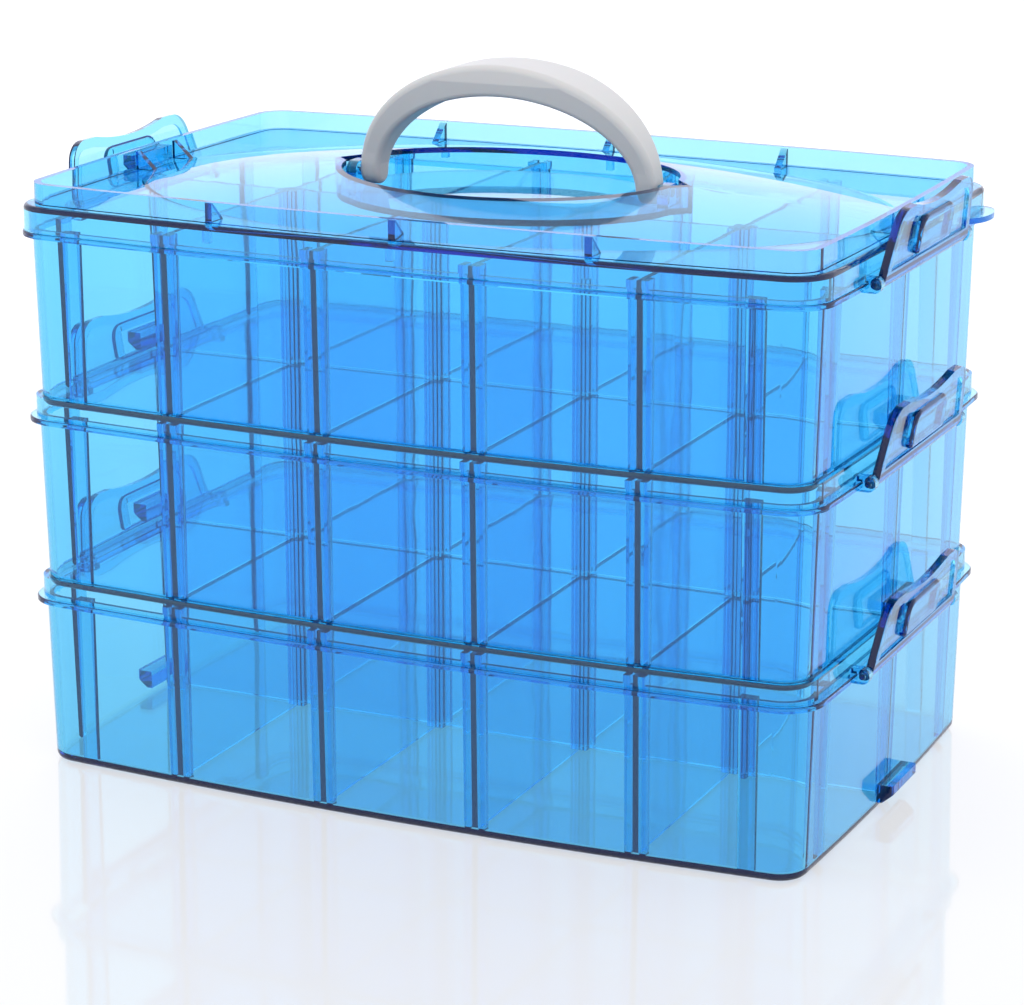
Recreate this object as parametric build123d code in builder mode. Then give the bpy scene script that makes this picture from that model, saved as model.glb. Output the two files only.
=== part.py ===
import os
from math import sqrt

from build123d import *

os.makedirs("parts", exist_ok=True)

# Stacked storage box: three nesting trays of ten compartments, a carrying lid,
# a folding handle and six side latches.
# Millimetres. X along the long front, Y to the back, Z up, base at zero.

# outline at the widest ridge
ridge_length = 250.0
ridge_depth = 155.4
long_bow = 4.8
short_bow = 1.6
corner_radius = 12.5

# tray heights, from the tray's own base
tray_count = 3
floor_thickness = 2.0
ridge_bottom = 51.0
ridge_top = 52.5
ridge_round = 0.5
step_height = 53.2
carry_height = 55.7
tray_pitch = carry_height + 0.1
rim_top = 58.5

# tray wall, as insets from the ridge outline
wall_thickness = 1.8
base_inset = 3.8
neck_inset = 2.8
rim_inset = 1.9
rim_thickness = 1.4
base_round = 2.2
floor_round = 0.9

# divider slots and stiffening ribs
slot_x = [-73.6, -24.5, 24.5, 73.6]
divider_thickness = 1.8
slot_clearance = 0.3
rib_width = 2.0
rib_inset = 8.0
rib_root = 4.3
rib_top_root = 2.9
stiffener_width = 5.0
stiffener_inset = 7.0
stiffener_x = ridge_length / 2 - 19.0
stiffener_y = 55.0

# dividers
divider_bottom = 2.1
divider_top = 55.3
divider_end_gap = 0.3
divider_rib = 3.0
divider_round = 1.0

# latches, hinge axis measured from its tray's base
latch_axis_x = ridge_length / 2 + short_bow + 0.9
latch_axis_z = (ridge_bottom + ridge_top) / 2
latch_lean = 9.0
barrel_radius = 1.75
barrel_half = 38.0
pin_radius = 0.9
pin_clearance = 0.05
lug_gap = 0.4
lug_width = 3.0
lug_radius = 2.2
trim_x = latch_axis_x - barrel_radius - 0.45
plate_inner = -0.4
plate_thickness = 1.6
plate_height = 19.5
plate_top_half = 32.0
plate_corner = 8.0
plate_dip = 2.0
dip_half = 20.0
border_width = 3.0
border_height = 0.7
dome_half = 15.0
dome_low = 4.3
dome_high = 15.3
dome_out = 3.0
dome_arch = 5.0
dome_foot = 1.5
dome_round = 1.0
pocket_half = 12.0
pocket_low = 5.2
pocket_high = 12.85
pocket_back = 1.4
hook_in = -0.7
hook_height = 1.5

# catches, from the base of the piece above
catch_low = 3.0
catch_high = 8.5
catch_face = 5.8
catch_toe_x = latch_axis_x - 2.9
catch_out_x = latch_axis_x + 0.4
catch_root_x = latch_axis_x - 5.3
catch_half = 11.0
catch_round = 1.0

# lid
lid_base = tray_pitch * tray_count
skirt_bottom = lid_base - tray_pitch + ridge_top + 0.2
skirt_inset = 0.5
skirt_thickness = 1.1
panel_bottom = lid_base - tray_pitch + rim_top + 0.1
panel_thickness = 1.7
shoulder_round = 1.3
wall_top = 178.0
lid_wall_inset = 3.6
lid_wall_thickness = 2.0
notch_half = 42.4
notch_top = 166.2
gusset_x = [-58.5, 0.0, 58.5]
gusset_y = [-11.0, 11.0]
gusset_width = 2.2
gusset_reach = 7.0
gusset_top = 177.5
key_bottom = 166.2
key_inset = 3.8
key_reach = 2.0
crown_height = 8.7
crown_half_x = ridge_length / 2 - 7.0
crown_half_y = ridge_depth / 2 - 2.7
tab_y = 58.0
tab_half = 11.0
tab_out_x = ridge_length / 2 + 5.5
tab_thickness = 1.7

# handle recess in the lid
recess_half_x = 52.0
recess_half_y = 40.0
recess_tip_x = 56.5
recess_tip_half = 12.0
recess_floor_top = 171.2
recess_floor_bottom = 169.6
recess_wall = 1.6

# handle
pivot_z = 175.5
handle_half = 48.0
handle_rise = 35.5
handle_inner_half = 41.5
handle_inner_rise = 26.0
handle_width = 20.0
foot_width = 9.0
foot_radius = 4.0
handle_round = 1.8
boss_in_x = 48.6
boss_width = 3.2
boss_half = 5.0
boss_top = 178.4
handle_pin_radius = 1.8
handle_pin_clearance = 0.06


def plan(height, inset):
    half_x = ridge_length / 2 - inset
    half_y = ridge_depth / 2 - inset
    with BuildSketch(Plane.XY.offset(height)) as outline:
        with BuildLine():
            ThreePointArc((-half_x, -half_y), (0, -half_y - long_bow), (half_x, -half_y))
            ThreePointArc((half_x, -half_y), (half_x + short_bow, 0), (half_x, half_y))
            ThreePointArc((half_x, half_y), (0, half_y + long_bow), (-half_x, half_y))
            ThreePointArc((-half_x, half_y), (-half_x - short_bow, 0), (-half_x, -half_y))
        make_face()
        fillet(outline.vertices(), corner_radius - inset)
    return outline.sketch


def bowed(half_chord, half_gap, bow, along):
    # distance of a bowed side from the middle, at a place along it
    radius = (half_chord**2 + bow**2) / (2 * bow)
    return half_gap + bow - radius + sqrt(radius**2 - along**2)


def long_side(x, inset):
    return bowed(ridge_length / 2 - inset, ridge_depth / 2 - inset, long_bow, x)


def short_side(y, inset):
    return bowed(ridge_depth / 2 - inset, ridge_length / 2 - inset, short_bow, y)


def wall_inset(height):
    # inset of the tray wall's outer face at a height, following the draft
    return base_inset + (neck_inset - base_inset) * height / ridge_bottom


inner_low = wall_inset(floor_thickness) + wall_thickness
inner_high = wall_inset(step_height) + wall_thickness
slot_half = divider_thickness / 2 + slot_clearance
rib_shift = slot_half + rib_width / 2


def block(x0, x1, y0, y1, z0, z1):
    # where an upright block sits, and its sizes
    place = ((x0 + x1) / 2, (y0 + y1) / 2, (z0 + z1) / 2)
    return place, (x1 - x0, y1 - y0, z1 - z0)


def save(piece, name):
    piece.part.label = name
    export_step(piece.part, f"parts/{name}.step")


# catch on the right side, for the latch of the piece below
with BuildPart() as catch_right:
    with BuildSketch(Plane.XZ) as catch_face_sketch:
        Polygon(
            (catch_root_x, catch_low),
            (catch_toe_x, catch_low),
            (catch_out_x, catch_face),
            (catch_out_x, catch_high),
            (catch_root_x, catch_high),
            align=None,
        )
    extrude(amount=catch_half, both=True)
    fillet(catch_right.edges().filter_by(Axis.Z).group_by(Axis.X)[-1], catch_round)


# lug on the right side that holds one end of a latch
with BuildPart() as lug_right:
    with BuildSketch(Plane.XZ.offset(-(barrel_half + lug_gap + lug_width))) as lug_face:
        with Locations((latch_axis_x, latch_axis_z)):
            Circle(lug_radius)
        with Locations(((catch_root_x + latch_axis_x) / 2, latch_axis_z)):
            Rectangle(latch_axis_x - catch_root_x, 2 * lug_radius)
        with Locations((latch_axis_x, latch_axis_z)):
            Circle(pin_radius + pin_clearance, mode=Mode.SUBTRACT)
    extrude(amount=lug_width)


# the cavity of a tray
with BuildPart() as cavity:
    loft([plan(floor_thickness, inner_low), plan(step_height, inner_high)])
    fillet(cavity.faces().sort_by(Axis.Z)[0].edges(), floor_round)
    extrude(plan(step_height, rim_inset + rim_thickness), amount=rim_top - step_height + 1)


def add_long_rib(x, inset, width, root, low, high):
    # the same rib on the front and the back wall
    depth = inset - root
    middle = long_side(x, (root + inset) / 2)
    with Locations((x, middle, (low + high) / 2), (x, -middle, (low + high) / 2)):
        Box(width, depth, high - low)


def add_short_rib(y, inset, width, root, low, high):
    # the same rib on the left and the right wall
    depth = inset - root
    middle = short_side(y, (root + inset) / 2)
    with Locations((middle, y, (low + high) / 2), (-middle, y, (low + high) / 2)):
        Box(depth, width, high - low)


with BuildPart() as tray_bottom:
    loft([plan(0, base_inset), plan(ridge_bottom, neck_inset)])
    fillet(tray_bottom.faces().sort_by(Axis.Z)[0].edges(), base_round)
    extrude(plan(ridge_bottom, 0), amount=ridge_top - ridge_bottom)
    fillet(tray_bottom.faces().filter_by(Axis.Z).sort_by(Axis.Z)[-1].edges(), ridge_round)
    extrude(plan(ridge_top, rim_inset), amount=rim_top - ridge_top)
    add(cavity.part, mode=Mode.SUBTRACT)
    # room in the ridge for the latches
    with Locations((trim_x + 5, 0, 51.7), (-trim_x - 5, 0, 51.7)):
        Box(10, 2 * barrel_half + 2 * lug_gap, 2.4, mode=Mode.SUBTRACT)
    # slots for the dividers
    for middle_x in slot_x:
        for rib_x in (middle_x - rib_shift, middle_x + rib_shift):
            add_long_rib(rib_x, rib_inset, rib_width, rib_root, floor_thickness - 0.5, step_height)
            add_long_rib(rib_x, rib_inset, rib_width, rib_top_root, step_height, carry_height)
    for rib_y in (-rib_shift, rib_shift):
        add_short_rib(rib_y, rib_inset, rib_width, rib_root, floor_thickness - 0.5, step_height)
        add_short_rib(rib_y, rib_inset, rib_width, rib_top_root, step_height, carry_height)
    # stiffening ribs
    for rib_x in (-stiffener_x, stiffener_x):
        add_long_rib(rib_x, stiffener_inset, stiffener_width, rib_root, floor_thickness - 0.5, step_height)
    for rib_y in (-stiffener_y, stiffener_y):
        add_short_rib(rib_y, stiffener_inset, stiffener_width, rib_root, floor_thickness - 0.5, step_height)
    # catches and lugs on both short sides
    add(catch_right.part)
    mirror(catch_right.part, about=Plane.YZ)
    for lug in (lug_right.part, lug_right.part.mirror(Plane.XZ)):
        add(lug)
        mirror(lug, about=Plane.YZ)

with BuildPart() as tray_middle:
    with Locations((0, 0, tray_pitch)):
        add(tray_bottom.part)

with BuildPart() as tray_top:
    with Locations((0, 0, 2 * tray_pitch)):
        add(tray_bottom.part)

save(tray_bottom, "tray_bottom")
save(tray_middle, "tray_middle")
save(tray_top, "tray_top")


# dividers
def end_inset(height):
    return wall_inset(height) + wall_thickness + divider_end_gap


with BuildPart() as long_divider:
    with BuildSketch(Plane.XZ) as long_face:
        low_half = short_side(slot_half, end_inset(divider_bottom))
        high_half = short_side(slot_half, end_inset(step_height))
        Polygon(
            (-low_half, divider_bottom),
            (low_half, divider_bottom),
            (high_half, divider_top),
            (-high_half, divider_top),
            align=None,
        )
        fillet(long_face.vertices().group_by(Axis.Y)[0], divider_round)
    extrude(amount=divider_thickness / 2, both=True)
    # ribs that hold the short dividers, on both faces
    for middle_x in slot_x:
        for rib_x in (middle_x - rib_shift, middle_x + rib_shift):
            with Locations((rib_x, 0, (divider_bottom + divider_top) / 2)):
                Box(rib_width, divider_thickness + 2 * divider_rib, divider_top - divider_bottom)


def short_divider(x):
    # back divider of one column, its outer edge following the wall
    near = divider_thickness / 2 + divider_end_gap
    far = abs(x) + divider_thickness / 2
    with BuildPart() as divider:
        with BuildSketch(Plane.YZ.offset(x)) as face:
            Polygon(
                (near, divider_bottom),
                (long_side(far, end_inset(divider_bottom)), divider_bottom),
                (long_side(far, end_inset(step_height)), divider_top),
                (near, divider_top),
                align=None,
            )
            fillet(face.vertices().group_by(Axis.Y)[0], divider_round)
        extrude(amount=divider_thickness / 2, both=True)
    return divider.part


for level, level_name in enumerate(("bottom", "middle", "top")):
    with BuildPart() as centre_divider:
        with Locations((0, 0, level * tray_pitch)):
            add(long_divider.part)
    save(centre_divider, f"divider_long_{level_name}")
    for column, x in enumerate(slot_x, 1):
        back_part = short_divider(x)
        for side, side_part in (("back", back_part), ("front", back_part.mirror(Plane.XZ))):
            with BuildPart() as cross_divider:
                with Locations((0, 0, level * tray_pitch)):
                    add(side_part)
            save(cross_divider, f"divider_{level_name}_{side}_{column}")


# dome over the catch, on a latch
with BuildPart() as latch_dome:
    with BuildSketch(Plane.YZ.offset(plate_inner)) as dome_face:
        with Locations((0, (dome_low + dome_high) / 2)):
            Rectangle(2 * dome_half, dome_high - dome_low)
        fillet(dome_face.vertices().group_by(Axis.Y)[-1], dome_arch)
        fillet(dome_face.vertices().group_by(Axis.Y)[0], dome_foot)
    extrude(amount=dome_out - plate_inner)
    fillet(latch_dome.faces().sort_by(Axis.X)[-1].edges(), dome_round)


# latch, closed, with its hinge axis along Y at the origin
with BuildPart() as latch_closed:
    with BuildSketch(Plane.YZ.offset(plate_inner)) as plate_face:
        with BuildLine():
            Line((-barrel_half, 0), (barrel_half, 0))
            Line((barrel_half, 0), (plate_top_half, plate_height))
            Line((plate_top_half, plate_height), (dip_half, plate_height))
            ThreePointArc((dip_half, plate_height), (0, plate_height - plate_dip), (-dip_half, plate_height))
            Line((-dip_half, plate_height), (-plate_top_half, plate_height))
            Line((-plate_top_half, plate_height), (-barrel_half, 0))
        make_face()
        fillet(plate_face.vertices().group_by(Axis.Y)[-1].sort_by(Axis.X)[0], plate_corner)
        fillet(plate_face.vertices().group_by(Axis.Y)[-1].sort_by(Axis.X)[-1], plate_corner)
    extrude(amount=plate_thickness)
    with BuildSketch(Plane.YZ.offset(plate_inner + plate_thickness)) as border_face:
        add(plate_face.sketch_local)
        offset(plate_face.sketch_local, amount=-border_width, mode=Mode.SUBTRACT)
    extrude(amount=border_height)
    add(latch_dome.part)
    # barrel and its pins
    with BuildSketch(Plane.XZ) as barrel_face:
        Circle(barrel_radius)
    extrude(amount=barrel_half, both=True)
    with BuildSketch(Plane.XZ) as pin_face:
        Circle(pin_radius)
    extrude(amount=barrel_half + lug_gap + lug_width, both=True)
    # pocket for the catch, its upper face is the hook
    hook_place, hook_size = block(
        hook_in, plate_inner + 1, -pocket_half, pocket_half, pocket_high, pocket_high + hook_height
    )
    with Locations(hook_place):
        Box(*hook_size)
    pocket_place, pocket_size = block(
        plate_inner - 3, pocket_back, -pocket_half, pocket_half, pocket_low, pocket_high
    )
    with Locations(pocket_place):
        Box(*pocket_size, mode=Mode.SUBTRACT)

for level, level_name in enumerate(("bottom", "middle", "top")):
    with BuildPart() as latch_right:
        with Locations(Location((latch_axis_x, 0, level * tray_pitch + latch_axis_z), (0, latch_lean, 0))):
            add(latch_closed.part)
    with BuildPart() as latch_left:
        mirror(latch_right.part, about=Plane.YZ)
    save(latch_right, f"latch_{level_name}_right")
    save(latch_left, f"latch_{level_name}_left")


# crown of the lid: a lens lowered by a drop, down to a floor
def crown(drop, floor, reach):
    radius = (crown_half_x**2 + crown_height**2) / (2 * crown_height)
    top = panel_bottom + panel_thickness + crown_height - drop
    edge = top - radius + sqrt(radius**2 - reach**2)
    middle = top - radius + sqrt(radius**2 - (reach / 2) ** 2)
    with BuildPart() as lens:
        with BuildSketch(Plane.XZ) as lens_face:
            with BuildLine():
                ThreePointArc((0, top), (reach / 2, middle), (reach, edge))
                Line((reach, edge), (reach, floor))
                Line((reach, floor), (0, floor))
                Line((0, floor), (0, top))
            make_face()
        revolve(axis=Axis.Z)
        scale(by=(1, crown_half_y / crown_half_x, 1))
    return lens.part


def recess(height, grow):
    with BuildSketch(Plane.XY.offset(height)) as outline:
        Ellipse(recess_half_x + grow, recess_half_y + grow)
        with BuildLine():
            Polyline(
                (-recess_tip_x - grow, 0),
                (-recess_half_x + recess_tip_half, -recess_tip_half - 6 - grow),
                (recess_half_x - recess_tip_half, -recess_tip_half - 6 - grow),
                (recess_tip_x + grow, 0),
                (recess_half_x - recess_tip_half, recess_tip_half + 6 + grow),
                (-recess_half_x + recess_tip_half, recess_tip_half + 6 + grow),
                close=True,
            )
        make_face()
    return outline.sketch


# tab for a finger, on the right end of the skirt
with BuildPart() as finger_tab:
    with BuildSketch(Plane.XY.offset(skirt_bottom)) as tab_face:
        with Locations((ridge_length / 2 - skirt_inset, tab_y)):
            Ellipse(tab_out_x - ridge_length / 2 + skirt_inset, tab_half)
    extrude(amount=tab_thickness)
    extrude(plan(skirt_bottom, skirt_inset + skirt_thickness / 2), amount=tab_thickness, mode=Mode.SUBTRACT)


panel_top = panel_bottom + panel_thickness

with BuildPart() as recess_tub:
    add(crown(0, recess_floor_bottom - 1, crown_half_x))
    extrude(recess(recess_floor_bottom, recess_wall), amount=20, mode=Mode.INTERSECT)

with BuildPart() as lid:
    extrude(plan(skirt_bottom, skirt_inset), amount=panel_top - skirt_bottom)
    fillet(lid.faces().sort_by(Axis.Z)[-1].edges(), shoulder_round)
    extrude(plan(skirt_bottom, skirt_inset + skirt_thickness), amount=panel_bottom - skirt_bottom, mode=Mode.SUBTRACT)
    extrude(plan(panel_top - 0.5, lid_wall_inset), amount=wall_top - panel_top + 0.5)
    extrude(
        plan(panel_top, lid_wall_inset + lid_wall_thickness),
        amount=wall_top - panel_top + 1,
        mode=Mode.SUBTRACT,
    )
    add(crown(0, panel_top - 0.9, crown_half_x))
    add(crown(panel_thickness, panel_bottom - 2, crown_half_x - 2), mode=Mode.SUBTRACT)
    add(recess_tub.part)
    extrude(recess(recess_floor_top, 0), amount=15, mode=Mode.SUBTRACT)
    # bosses that hold the handle's pins
    for side in (-1, 1):
        with BuildSketch(Plane.YZ.offset(side * boss_in_x)) as boss_face:
            with Locations((0, (recess_floor_bottom + boss_top) / 2)):
                Rectangle(2 * boss_half, boss_top - recess_floor_bottom)
            fillet(boss_face.vertices().group_by(Axis.Y)[-1], boss_half - 2.2)
            with Locations((0, pivot_z)):
                Circle(handle_pin_radius + handle_pin_clearance, mode=Mode.SUBTRACT)
        extrude(amount=side * boss_width)
    # room for the latches and their lugs
    with Locations((ridge_length / 2 + 3, 0, notch_top - 3), (-ridge_length / 2 - 3, 0, notch_top - 3)):
        Box(7, 2 * notch_half, 6, mode=Mode.SUBTRACT)
    # gussets inside the upstand, and keys under the panel
    for x in gusset_x:
        wall_y = long_side(x, lid_wall_inset + 1)
        inner_y = long_side(x, lid_wall_inset + lid_wall_thickness) - gusset_reach
        key_y = long_side(x, key_inset)
        for side in (-1, 1):
            with BuildSketch(Plane.YZ.offset(x - gusset_width / 2)) as gusset_face:
                Polygon(
                    (side * wall_y, panel_top - 0.5),
                    (side * inner_y, panel_top - 0.5),
                    (side * (wall_y - 1.6), gusset_top),
                    (side * wall_y, gusset_top),
                    align=None,
                )
                Polygon(
                    (side * key_y, key_bottom),
                    (side * (key_y - key_reach), key_bottom),
                    (side * (key_y - key_reach), panel_bottom + 0.5),
                    (side * key_y, panel_bottom + 0.5),
                    align=None,
                )
            extrude(amount=gusset_width)
    for y in gusset_y:
        wall_x = short_side(y, lid_wall_inset + 1)
        inner_x = short_side(y, lid_wall_inset + lid_wall_thickness) - gusset_reach
        for side in (-1, 1):
            with BuildSketch(Plane.XZ.offset(-y - gusset_width / 2)) as end_gusset_face:
                Polygon(
                    (side * wall_x, panel_top - 0.5),
                    (side * inner_x, panel_top - 0.5),
                    (side * (wall_x - 1.6), gusset_top),
                    (side * wall_x, gusset_top),
                    align=None,
                )
            extrude(amount=gusset_width)
    # catches, and the tab for a finger
    for side_part in (catch_right.part, catch_right.part.mirror(Plane.YZ)):
        with Locations((0, 0, lid_base)):
            add(side_part)
    add(finger_tab.part)

save(lid, "lid")


# handle, upright
with BuildPart() as handle:
    with BuildSketch(Plane.XZ) as arch:
        with Locations((0, pivot_z)):
            Ellipse(handle_half, handle_rise)
            Ellipse(handle_inner_half, handle_inner_rise, mode=Mode.SUBTRACT)
        with Locations((0, pivot_z - handle_rise / 2)):
            Rectangle(2 * handle_half + 2, handle_rise, mode=Mode.SUBTRACT)
        for side in (-1, 1):
            with Locations((side * (handle_half + handle_inner_half) / 2, pivot_z - foot_radius / 2)):
                Rectangle(handle_half - handle_inner_half, foot_radius)
    extrude(amount=handle_width / 2, both=True)
    with BuildSketch(Plane.YZ) as side_face:
        with BuildLine():
            Line((-foot_radius, pivot_z), (-foot_width / 2, pivot_z + 6))
            ThreePointArc((-foot_width / 2, pivot_z + 6), (-7.6, pivot_z + 21), (-handle_width / 2, pivot_z + 30))
            Line((-handle_width / 2, pivot_z + 30), (-handle_width / 2, pivot_z + 40))
            Line((-handle_width / 2, pivot_z + 40), (handle_width / 2, pivot_z + 40))
            Line((handle_width / 2, pivot_z + 40), (handle_width / 2, pivot_z + 30))
            ThreePointArc((handle_width / 2, pivot_z + 30), (7.6, pivot_z + 21), (foot_width / 2, pivot_z + 6))
            Line((foot_width / 2, pivot_z + 6), (foot_radius, pivot_z))
            ThreePointArc((foot_radius, pivot_z), (0, pivot_z - foot_radius), (-foot_radius, pivot_z))
        make_face()
    extrude(amount=handle_half + 5, both=True, mode=Mode.INTERSECT)
    long_edges = handle.edges().filter_by(lambda edge: edge.length > 30)
    fillet(long_edges, handle_round)
    with BuildSketch(Plane.YZ) as handle_pin_face:
        with Locations((0, pivot_z)):
            Circle(handle_pin_radius)
    extrude(amount=boss_in_x + boss_width, both=True)
    with BuildSketch(Plane.XZ) as gap_face:
        with Locations((0, pivot_z)):
            Rectangle(2 * handle_inner_half, 3 * handle_pin_radius)
    extrude(amount=handle_width, both=True, mode=Mode.SUBTRACT)

save(handle, "handle")
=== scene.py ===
import math

import bpy
from mathutils import Matrix, Vector

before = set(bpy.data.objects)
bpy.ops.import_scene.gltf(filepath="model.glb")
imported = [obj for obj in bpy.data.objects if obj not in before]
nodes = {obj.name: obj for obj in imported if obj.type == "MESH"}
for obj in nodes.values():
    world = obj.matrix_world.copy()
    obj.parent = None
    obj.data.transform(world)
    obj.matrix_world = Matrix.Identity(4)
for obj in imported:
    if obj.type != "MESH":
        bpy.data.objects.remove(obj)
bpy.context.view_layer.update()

scene = bpy.context.scene
print("frame loaded", len(nodes), "nodes")

# sockets of a Mix node set to colours, which share their names with its other kinds
mixFactor, mixLow, mixHigh, mixResult = 0, 6, 7, 2


def linearFromHex(text):
    # sRGB hex to linear RGBA
    values = [int(text[i:i + 2], 16) / 255 for i in (0, 2, 4)]
    return [v / 12.92 if v <= 0.04045 else ((v + 0.055) / 1.055) ** 2.4 for v in values] + [1.0]


def addNode(tree, kind, settings=None, links=None, **attributes):
    # one shader node: its attributes, the values of its inputs, and what feeds them
    node = tree.nodes.new(kind)
    for key, value in attributes.items():
        setattr(node, key, value)
    for key, value in (settings or {}).items():
        node.inputs[key].default_value = value
    for key, source in (links or {}).items():
        tree.links.new(source, node.inputs[key])
    return node


def mixColour(tree, factor, low, high):
    # a colour between two, each a hex text, plain RGBA values or a socket
    node = addNode(tree, "ShaderNodeMix", links={mixFactor: factor}, data_type="RGBA")
    for index, colour in ((mixLow, low), (mixHigh, high)):
        if isinstance(colour, str):
            node.inputs[index].default_value = linearFromHex(colour)
        elif isinstance(colour, tuple):
            node.inputs[index].default_value = colour
        else:
            tree.links.new(colour, node.inputs[index])
    return node.outputs[mixResult]


def addNoise(tree, scale, detail, roughness=0.5):
    # noise that stays with the object, from 0 to 1
    place = addNode(tree, "ShaderNodeTexCoord")
    noise = addNode(
        tree, "ShaderNodeTexNoise",
        {"Scale": scale, "Detail": detail, "Roughness": roughness},
        {"Vector": place.outputs["Object"]},
    )
    return noise.outputs["Fac"]


def spread(tree, value, low, high, fromLow=0.0, fromHigh=1.0, interpolation="LINEAR"):
    # a value carried from one range to another
    node = addNode(
        tree, "ShaderNodeMapRange",
        {"From Min": fromLow, "From Max": fromHigh, "To Min": low, "To Max": high},
        {"Value": value}, interpolation_type=interpolation,
    )
    return node.outputs["Result"]


def newMaterial(name):
    material = bpy.data.materials.new(name)
    material.use_nodes = True
    tree = material.node_tree
    tree.nodes.clear()
    output = tree.nodes.new("ShaderNodeOutputMaterial")
    return material, tree, output


def clearPlastic(name, look):
    # injection-moulded polystyrene: tinted through its thickness, with faint flow waves
    # and a slight unevenness of gloss left by the mould
    material, tree, output = newMaterial(name)
    flow = addNoise(tree, 1 / look["flowSize"], look["flowDetail"], look["flowRoughness"])
    waves = addNode(
        tree, "ShaderNodeBump",
        {"Strength": look["flowStrength"], "Distance": look["flowDepth"]},
        {"Height": flow},
    )
    body = addNode(
        tree, "ShaderNodeBsdfPrincipled",
        {
            "IOR": look["ior"], "Transmission Weight": 1.0,
            # painted glow: the plastic itself gives off a faint blue light, though it is no lamp
            "Emission Color": look["paintedGlow"], "Emission Strength": look["paintedGlowStrength"],
        },
        {
            "Base Color": mixColour(tree, flow, look["surface"], look["surfaceDeep"]),
            "Roughness": spread(
                tree, flow, look["roughLow"], look["roughHigh"], look["flowLow"], look["flowHigh"],
            ),
            "Normal": waves.outputs["Normal"],
        },
    )
    depth = addNode(
        tree, "ShaderNodeVolumeAbsorption",
        {"Color": look["through"], "Density": look["density"]},
    )
    tree.links.new(body.outputs["BSDF"], output.inputs["Surface"])
    tree.links.new(depth.outputs["Volume"], output.inputs["Volume"])
    return material


def satinPlastic(name, look):
    # opaque moulded polypropylene: fine spark-eroded grain, soft gloss
    material, tree, output = newMaterial(name)
    grain = addNoise(tree, 1 / look["grainSize"], look["grainDetail"], look["grainRoughness"])
    cloud = addNoise(tree, 1 / look["cloudSize"], look["cloudDetail"])
    skin = addNode(
        tree, "ShaderNodeBump",
        {"Strength": look["grainStrength"], "Distance": look["grainDepth"]},
        {"Height": grain},
    )
    body = addNode(
        tree, "ShaderNodeBsdfPrincipled",
        {
            "IOR": look["ior"],
            "Subsurface Weight": look["scatter"], "Subsurface Scale": look["scatterDepth"],
        },
        {
            "Base Color": mixColour(tree, cloud, look["colour"], look["colourDeep"]),
            "Roughness": spread(tree, grain, look["roughLow"], look["roughHigh"]),
            "Normal": skin.outputs["Normal"],
        },
    )
    tree.links.new(body.outputs["BSDF"], output.inputs["Surface"])
    return material


# densities are what a metre of plastic absorbs, sizes and depths are metres
clearLook = {
    "surface": "FFFFFF",
    "surfaceDeep": "F4FAFF",
    "through": (0.0, 0.76, 0.935, 1.0),
    "density": 420.0,
    "ior": 1.49,
    # painted glow: colour and strength of a faint blue light the clear plastic emits, though it is no
    # lamp
    "paintedGlow": (0.0, 0.26, 1.0, 1.0),
    "paintedGlowStrength": 0.014,
    "flowSize": 0.035,
    "flowDetail": 1.0,
    "flowRoughness": 0.45,
    "flowLow": 0.3,
    "flowHigh": 0.7,
    "flowStrength": 0.12,
    "flowDepth": 0.0006,
    "roughLow": 0.0,
    "roughHigh": 0.03,
}
handleLook = {
    "colour": "E6E5E4",
    "colourDeep": "DFDEDE",
    "cloudSize": 0.03,
    "cloudDetail": 2.0,
    "grainSize": 0.0005,
    "grainDetail": 4.0,
    "grainRoughness": 0.6,
    "grainStrength": 0.12,
    "grainDepth": 0.00004,
    "roughLow": 0.34,
    "roughHigh": 0.46,
    "ior": 1.5,
    "scatter": 0.08,
    "scatterDepth": 0.004,
}

# plastics by the first word of a piece's name
clearName = "moulded clear blue polystyrene, "
plastics = {
    "tray": clearPlastic(clearName + "trays", clearLook),
    "lid": clearPlastic(clearName + "lid", {**clearLook, "density": 430.0}),
    "divider": clearPlastic(clearName + "dividers", {**clearLook, "density": 330.0, "flowSize": 0.02}),
    "latch": clearPlastic(clearName + "latches", {**clearLook, "density": 480.0}),
    "handle": satinPlastic("moulded off-white polypropylene", handleLook),
}


def dress(piece, material):
    # the material goes into every slot of a CAD piece
    if not piece.material_slots:
        piece.data.materials.append(material)
    for entry in piece.material_slots:
        entry.material = material


for name, piece in nodes.items():
    dress(piece, plastics[name.split("_")[0]])
print("materials assigned")


# floor: plain and pale, with a soft mirror gloss and a glow of its own in place of a lamp
floorLook = {
    "half": 6.0,
    "drop": 0.0004,
    "colour": "A8A9AB",
    "colourDeep": "A2A4A6",
    "cloudScale": 3.0,
    "cloudDetail": 2.0,
    "roughLow": 0.04,
    "roughHigh": 0.07,
    "ior": 1.45,
    "glow": 0.56,
}
half = floorLook["half"]
floorMesh = bpy.data.meshes.new("floor")
floorCorners = [(-half, -half, 0), (half, -half, 0), (half, half, 0), (-half, half, 0)]
floorMesh.from_pydata(floorCorners, [], [(0, 1, 2, 3)])
floor = bpy.data.objects.new("floor", floorMesh)
floor.location.z = -floorLook["drop"]
scene.collection.objects.link(floor)
floorPaint, tree, output = newMaterial("pale lacquered board")
cloud = addNoise(tree, floorLook["cloudScale"], floorLook["cloudDetail"])
board = addNode(
    tree, "ShaderNodeBsdfPrincipled",
    {
        "IOR": floorLook["ior"],
        "Emission Color": (1.0, 1.0, 1.0, 1.0), "Emission Strength": floorLook["glow"],
    },
    {
        "Base Color": mixColour(tree, cloud, floorLook["colour"], floorLook["colourDeep"]),
        "Roughness": spread(tree, cloud, floorLook["roughLow"], floorLook["roughHigh"]),
    },
)
tree.links.new(board.outputs["BSDF"], output.inputs["Surface"])
floorMesh.materials.append(floorPaint)
print("floor laid")


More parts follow.
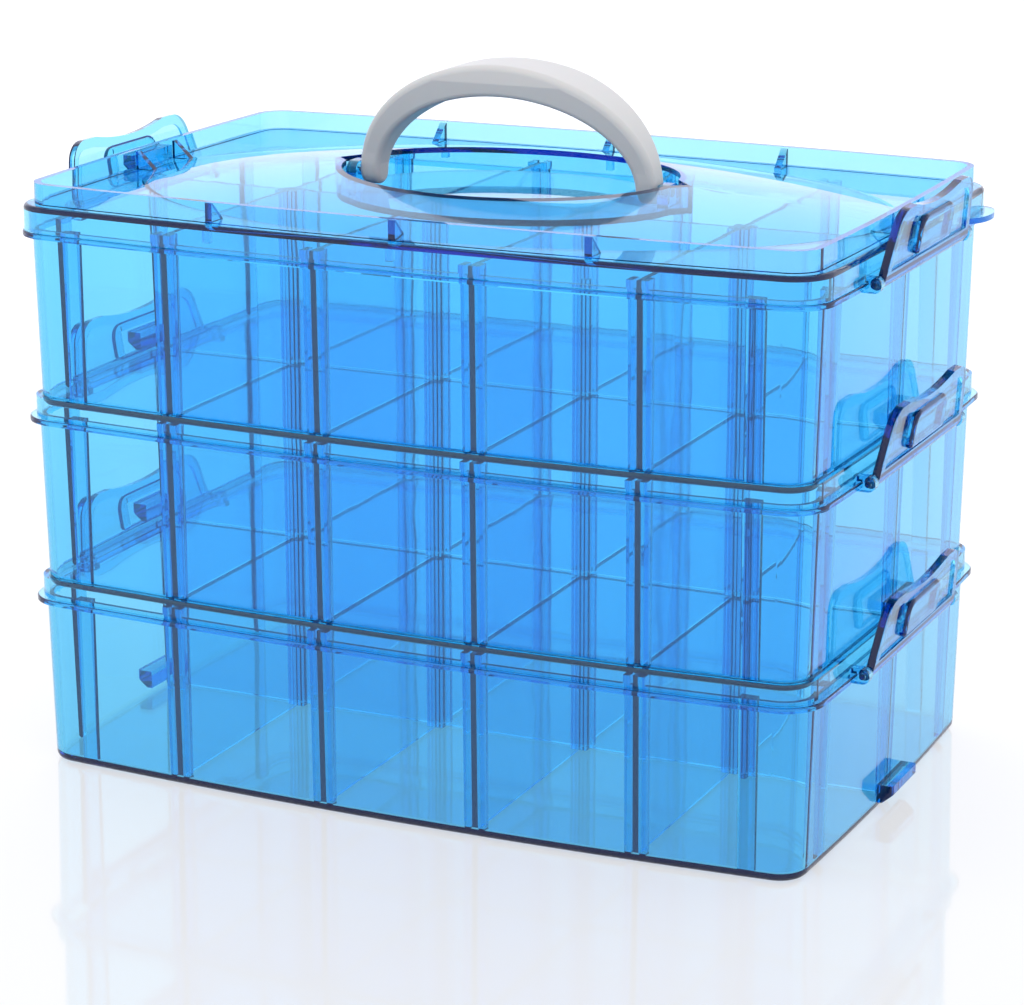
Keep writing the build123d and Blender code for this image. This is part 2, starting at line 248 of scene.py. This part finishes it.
# studio light: a white room, dimmer overhead, with a long softbox low behind the object
# that shines along its lid, and a smaller one at the left
worldLook = {
    "wall": (1.05, 1.06, 1.08, 1.0),
    "ceiling": (0.86, 0.86, 0.87, 1.0),
    "ceilingFrom": 0.05,
    "ceilingTo": 0.85,
    "softbox": (1.3, 1.3, 1.42, 1.0),
    "strength": 1.0,
}
# inner and outer are the cosines between which a softbox fades
softboxes = [
    {"towards": (-0.42, 0.86, 0.30), "inner": 0.93, "outer": 0.72},
    {"towards": (-0.80, -0.45, 0.40), "inner": 0.985, "outer": 0.95},
]
world = bpy.data.worlds.new("white room")
world.use_nodes = True
worldTree = world.node_tree
backdrop = worldTree.nodes["Background"]
backdrop.inputs["Strength"].default_value = worldLook["strength"]
direction = addNode(worldTree, "ShaderNodeTexCoord").outputs["Generated"]
split = addNode(worldTree, "ShaderNodeSeparateXYZ", links={"Vector": direction})
height = spread(
    worldTree, split.outputs["Z"], 0.0, 1.0,
    worldLook["ceilingFrom"], worldLook["ceilingTo"], "SMOOTHSTEP",
)
sky = mixColour(worldTree, height, worldLook["wall"], worldLook["ceiling"])
for softbox in softboxes:
    aim = addNode(
        worldTree, "ShaderNodeVectorMath",
        {1: Vector(softbox["towards"]).normalized()}, {0: direction}, operation="DOT_PRODUCT",
    )
    inside = spread(
        worldTree, aim.outputs["Value"], 0.0, 1.0, softbox["outer"], softbox["inner"], "SMOOTHSTEP",
    )
    sky = mixColour(worldTree, inside, sky, worldLook["softbox"])
worldTree.links.new(sky, backdrop.inputs["Color"])
world.cycles.sampling_method = "NONE"
scene.world = world


# camera, found from the photograph's own perspective
cameraLook = {
    "place": (0.4035, -0.8730, 0.3511),
    "yaw": math.radians(24.77),
    "pitch": math.radians(15.93),
    "roll": math.radians(-0.04),
    "lens": 115.64,
    "sensor": 36.0,
    "nearest": 0.02,
    "farthest": 50.0,
}
cameraData = bpy.data.cameras.new("camera")
cameraData.sensor_width = cameraLook["sensor"]
cameraData.lens = cameraLook["lens"]
cameraData.clip_start = cameraLook["nearest"]
cameraData.clip_end = cameraLook["farthest"]
camera = bpy.data.objects.new("camera", cameraData)
turn = Matrix.Rotation(cameraLook["yaw"], 4, "Z")
tilt = Matrix.Rotation(math.pi / 2 - cameraLook["pitch"], 4, "X")
lean = Matrix.Rotation(cameraLook["roll"], 4, "Z")
camera.matrix_world = Matrix.Translation(cameraLook["place"]) @ turn @ tilt @ lean
scene.collection.objects.link(camera)
scene.camera = camera

# how far light is followed through the stacked clear walls
lightPaths = {
    "max_bounces": 26,
    "transmission_bounces": 24,
    "glossy_bounces": 4,
    "diffuse_bounces": 2,
    "transparent_max_bounces": 24,
    "sample_clamp_indirect": 8.0,
}
for key, value in lightPaths.items():
    setattr(scene.cycles, key, value)
scene.view_settings.view_transform = "Standard"
scene.view_settings.look = "None"
print("light and camera set")
